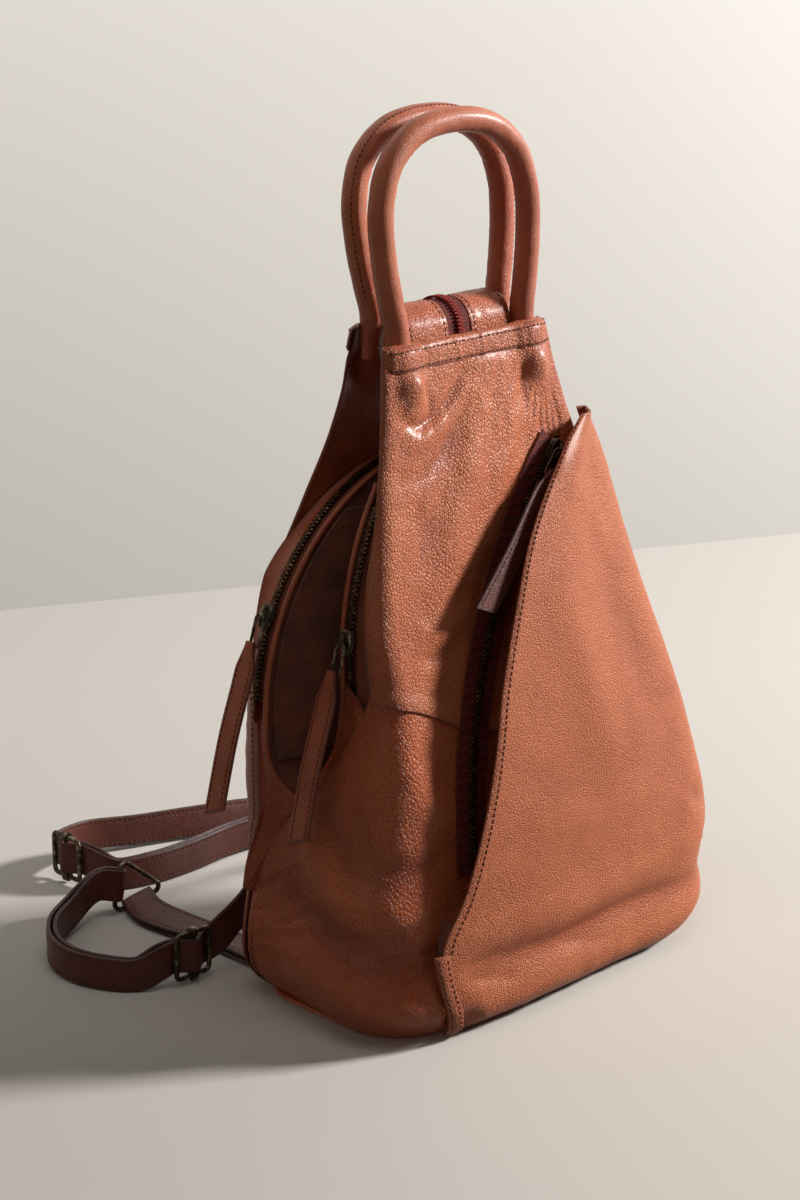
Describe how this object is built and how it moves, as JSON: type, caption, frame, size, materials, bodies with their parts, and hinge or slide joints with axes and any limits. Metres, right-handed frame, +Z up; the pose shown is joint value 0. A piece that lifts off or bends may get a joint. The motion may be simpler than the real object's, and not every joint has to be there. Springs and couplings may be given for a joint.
{
  "type": "leather backpack",
  "caption": "Tapered leather backpack with two rolled top handles, zipped side pouches, a diagonal zipped front pocket and adjustable shoulder straps.",
  "frame": {"origin": "centre of the base, on the surface that the bag stands on", "axes": "+Z up, +Y towards the back panel that rests on the wearer, front pocket facing -Y"},
  "size_m": [0.3535, 0.3527, 0.4883],
  "materials": {
    "shell_leather": "pebbled cognac leather, semi-gloss",
    "pocket_leather": "finer grained cognac leather, semi-gloss",
    "lining_leather": "soft dark brown leather, matt",
    "strap_leather": "dark brown double leather strap with edge stitching",
    "tab_leather": "cut double leather, semi-gloss",
    "zip_tape": "woven rust-coloured zip tape",
    "metal": "antique dark brass, worn",
    "cord": "twisted cotton cord",
    "board": "stiff fibre board"
  },
  "bodies": {
    "bag": {"front_panel_upper": "shell_leather", "lower_wrap": "shell_leather", "back_panel": "shell_leather", "base_panel": "shell_leather", "hem_front": "shell_leather", "hem_back": "shell_leather", "piping_left": "shell_leather", "piping_right": "shell_leather", "pocket_binding": "shell_leather", "top_strap_left": "shell_leather", "top_strap_right": "shell_leather", "pocket_panel": "pocket_leather", "pouch_wall_back": "lining_leather", "pouch_wall_front": "lining_leather", "strap_left": "strap_leather", "strap_right": "strap_leather", "ring_tab_left": "strap_leather", "ring_tab_right": "strap_leather", "zip_tape_back_left": "zip_tape", "zip_tape_back_right": "zip_tape", "zip_tape_front_left": "zip_tape", "zip_tape_front_right": "zip_tape", "pocket_zip_tape": "zip_tape", "top_zip_tape": "zip_tape", "zip_chain_back_left": "metal", "zip_chain_back_right": "metal", "zip_chain_front_left": "metal", "zip_chain_front_right": "metal", "pocket_zip_chain": "metal", "top_zip_chain": "metal", "base_board": "board"},
    "zip_back_left": {"slider_back_left": "metal"},
    "pull_back_left": {"bail_back_left": "metal", "pull_back_left": "tab_leather"},
    "zip_back_right": {"slider_back_right": "metal"},
    "pull_back_right": {"bail_back_right": "metal", "pull_back_right": "tab_leather"},
    "zip_front_left": {"slider_front_left": "metal"},
    "pull_front_left": {"bail_front_left": "metal", "pull_front_left": "tab_leather"},
    "zip_front_right": {"slider_front_right": "metal"},
    "pull_front_right": {"bail_front_right": "metal", "pull_front_right": "tab_leather"},
    "zip_pocket": {"slider_pocket": "metal"},
    "pull_pocket": {"bail_pocket": "metal", "pull_pocket": "tab_leather"},
    "zip_top": {"slider_top": "metal"},
    "pull_top": {"bail_top": "metal", "pull_top": "tab_leather"},
    "handle_front": {"handle_front": "shell_leather", "handle_core_front": "cord"},
    "handle_back": {"handle_back": "shell_leather", "handle_core_back": "cord"},
    "buckle_left": {"buckle_frame_left": "metal", "buckle_bar_left": "metal"},
    "ring_left": {"ring_left": "metal"},
    "buckle_right": {"buckle_frame_right": "metal", "buckle_bar_right": "metal"},
    "ring_right": {"ring_right": "metal"}
  },
  "joints": [
    {"name": "zip_back_left_travel", "type": "hinge", "parent": "bag", "child": "zip_back_left", "pos_m": [0, 0.03375, 0.17], "axis": [0, 1, 0], "range_deg": [-16, 35]},
    {"name": "pull_back_left_swing", "type": "hinge", "parent": "zip_back_left", "child": "pull_back_left", "pos_m": [-0.12648, 0.03375, 0.22631], "axis": [0, 1, 0], "range_deg": [-2, 95]},
    {"name": "zip_back_right_travel", "type": "hinge", "parent": "bag", "child": "zip_back_right", "pos_m": [0, 0.03375, 0.17], "axis": [0, -1, 0], "range_deg": [-16, 35]},
    {"name": "pull_back_right_swing", "type": "hinge", "parent": "zip_back_right", "child": "pull_back_right", "pos_m": [0.12648, 0.03375, 0.22631], "axis": [0, -1, 0], "range_deg": [-2, 95]},
    {"name": "zip_front_left_travel", "type": "hinge", "parent": "bag", "child": "zip_front_left", "pos_m": [0.0749, -0.00475, 0.203], "axis": [0, 1, 0], "range_deg": [-4, 19]},
    {"name": "pull_front_left_swing", "type": "hinge", "parent": "zip_front_left", "child": "pull_front_left", "pos_m": [-0.10423, -0.00475, 0.21364], "axis": [0, 1, 0], "range_deg": [-1, 95]},
    {"name": "zip_front_right_travel", "type": "hinge", "parent": "bag", "child": "zip_front_right", "pos_m": [-0.0749, -0.00475, 0.203], "axis": [0, -1, 0], "range_deg": [-4, 19]},
    {"name": "pull_front_right_swing", "type": "hinge", "parent": "zip_front_right", "child": "pull_front_right", "pos_m": [0.10423, -0.00475, 0.21364], "axis": [0, -1, 0], "range_deg": [-1, 95]},
    {"name": "zip_pocket_travel", "type": "hinge", "parent": "bag", "child": "zip_pocket", "pos_m": [0.2812, -0.06425, 0.04984], "axis": [0, -0.9773, 0.2121], "range_deg": [-1, 17]},
    {"name": "pull_pocket_swing", "type": "hinge", "parent": "zip_pocket", "child": "pull_pocket", "pos_m": [0.04842, -0.02169, 0.29551], "axis": [-0.6791, 0.1557, 0.7174], "range_deg": [-1, 1.5]},
    {"name": "zip_top_travel", "type": "slide", "parent": "bag", "child": "zip_top", "axis": [0, -0.1329, 0.9911], "range_m": [-0.005, 0.05]},
    {"name": "pull_top_swing", "type": "hinge", "parent": "zip_top", "child": "pull_top", "pos_m": [0, 0.0598, 0.27874], "axis": [1, 0, 0], "range_deg": [-1, 95]},
    {"name": "handle_front_swing", "type": "hinge", "parent": "bag", "child": "handle_front", "pos_m": [0, 0.009, 0.3716], "axis": [1, 0, 0], "range_deg": [-2, 85]},
    {"name": "handle_back_swing", "type": "hinge", "parent": "bag", "child": "handle_back", "pos_m": [0, 0.0275, 0.3796], "axis": [-1, 0, 0], "range_deg": [-2, 85]},
    {"name": "buckle_left_travel", "type": "slide", "parent": "bag", "child": "buckle_left", "axis": [-1, 0, 0], "range_m": [-0.006, 0.006], "deforming": ["strap_left"]},
    {"name": "buckle_right_travel", "type": "slide", "parent": "bag", "child": "buckle_right", "axis": [0, -1, 0], "range_m": [-0.006, 0.006], "deforming": ["strap_right"]},
    {"name": "ring_left_swing", "type": "hinge", "parent": "bag", "child": "ring_left", "pos_m": [-0.09277, 0.18482, 0.00596], "axis": [0.883, -0.3214, 0.342], "range_deg": [-8, 8], "deforming": ["strap_left"]},
    {"name": "ring_right_swing", "type": "hinge", "parent": "bag", "child": "ring_right", "pos_m": [0.10132, 0.17511, 0.00596], "axis": [0.9077, -0.2432, 0.342], "range_deg": [-8, 8], "deforming": ["strap_right"]}
  ]
}
